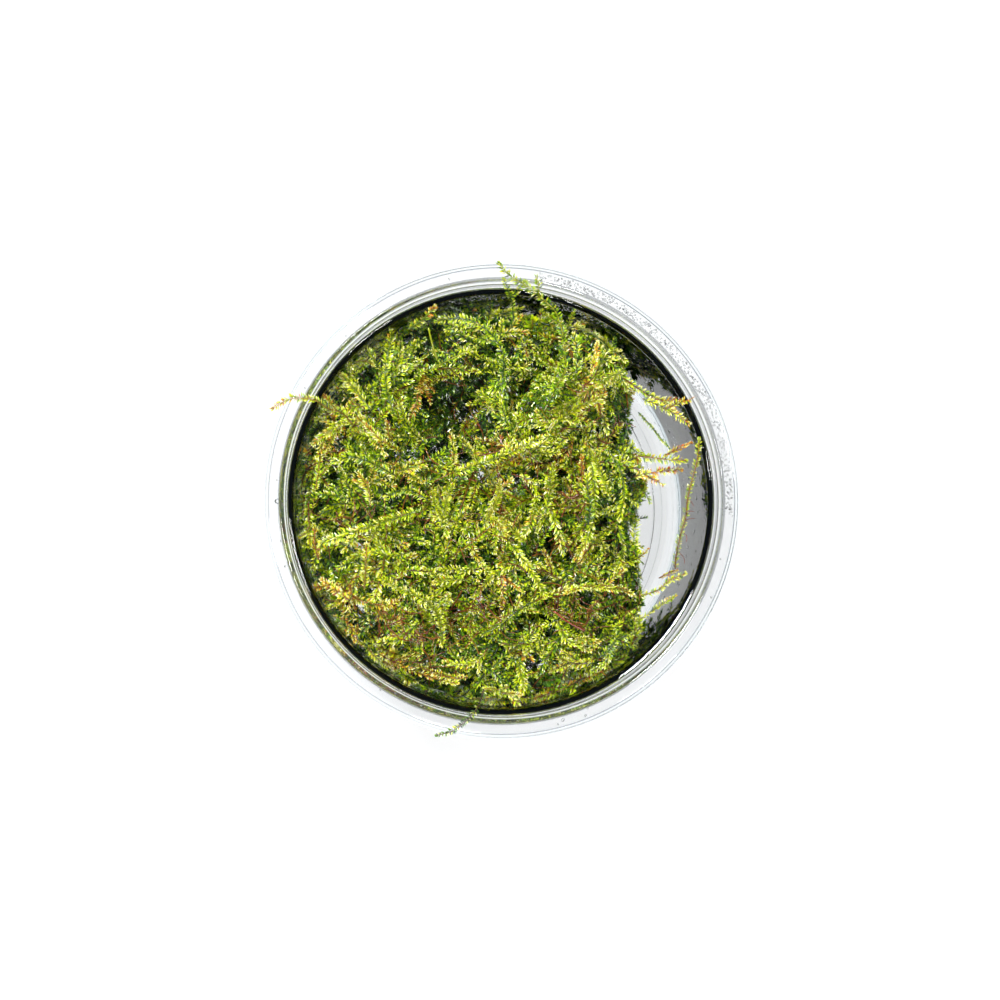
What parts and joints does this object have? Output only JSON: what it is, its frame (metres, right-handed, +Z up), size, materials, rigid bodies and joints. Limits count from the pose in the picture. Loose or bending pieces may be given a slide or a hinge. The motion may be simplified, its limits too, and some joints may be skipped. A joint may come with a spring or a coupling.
{
  "type": "moss clump in a clear cup",
  "caption": "Loose clump of wet, leafy aquarium moss shoots heaped in an open clear plastic cup with a flat rolled flange; a few shoots hang over the rim.",
  "frame": {"origin": "centre of the cup's standing face, on the surface that it stands on", "axes": "+Z up along the cup's axis; +X towards the side where the moss stops short of the wall; +Y towards the side where the longest shoot hangs over the rim"},
  "size_m": [0.08, 0.08, 0.0485],
  "materials": {
    "clear_plastic": "clear, colourless, glossy moulded plastic with a few water drops",
    "moss_green": "wet mid-green moss leaves, glossy points of light, dark between the shoots",
    "moss_yellow_green": "wet young yellow-green moss leaves",
    "moss_olive_brown": "older olive to orange-brown moss leaves and tips",
    "stem_red_brown": "smooth wet red-brown bare stems"
  },
  "bodies": {
    "root": {"cup": "clear_plastic", "moss_mat": "moss_green", "shoot_wall_west": "moss_yellow_green", "shoot_wall_southwest": "moss_olive_brown", "shoot_green_west": "moss_green", "shoot_fan_west": "moss_yellow_green", "shoot_column_west": "moss_yellow_green", "shoot_arch_north": "moss_green", "shoot_tip_northwest": "moss_olive_brown", "shoot_rail_north": "moss_green", "stem_bare_north": "moss_green", "shoot_fan_middle": "moss_green", "shoot_green_middle": "moss_green", "shoot_zebra_northeast": "moss_green", "shoot_amber_northeast": "moss_olive_brown", "shoot_pale_northeast": "moss_yellow_green", "shoot_bow_west": "moss_green", "shoot_amber_column_upper": "moss_olive_brown", "shoot_amber_column_lower": "moss_yellow_green", "shoot_bright_west": "moss_yellow_green", "shoot_sickle_middle": "moss_yellow_green", "shoot_ridge_lower": "moss_yellow_green", "shoot_ridge_upper": "moss_yellow_green", "shoot_gold_middle": "moss_yellow_green", "shoot_gold_fork": "moss_yellow_green", "shoot_column_middle": "moss_yellow_green", "shoot_column_east": "moss_green", "shoot_pale_east": "moss_yellow_green", "stem_pink_arc": "stem_red_brown", "shoot_elbow_southwest": "moss_yellow_green", "shoot_ridge_southwest": "moss_yellow_green", "shoot_orange_southwest": "moss_olive_brown", "shoot_diagonal_south": "moss_green", "shoot_gold_arc_southeast": "moss_yellow_green", "stem_red_southeast": "stem_red_brown", "shoot_green_southeast": "moss_green", "shoot_tuft_southeast": "moss_olive_brown", "shoot_yellow_south": "moss_yellow_green", "shoot_gold_south": "moss_yellow_green", "shoot_wall_south": "moss_olive_brown", "shoot_yellow_west": "moss_yellow_green", "shoot_bridge_east_upper": "moss_olive_brown", "shoot_bridge_east_lower": "moss_yellow_green", "shoot_arm_east_lower": "moss_olive_brown", "shoot_arm_east_upper": "moss_yellow_green", "shoot_hanging_east": "moss_yellow_green", "shoot_twig_southeast": "moss_yellow_green", "shoot_needle_southeast": "moss_yellow_green", "shoot_over_rim_north": "moss_olive_brown", "shoot_over_rim_north_fork": "moss_green", "shoot_over_rim_west": "moss_olive_brown", "shoot_over_rim_south": "moss_olive_brown"}
  },
  "joints": []
}
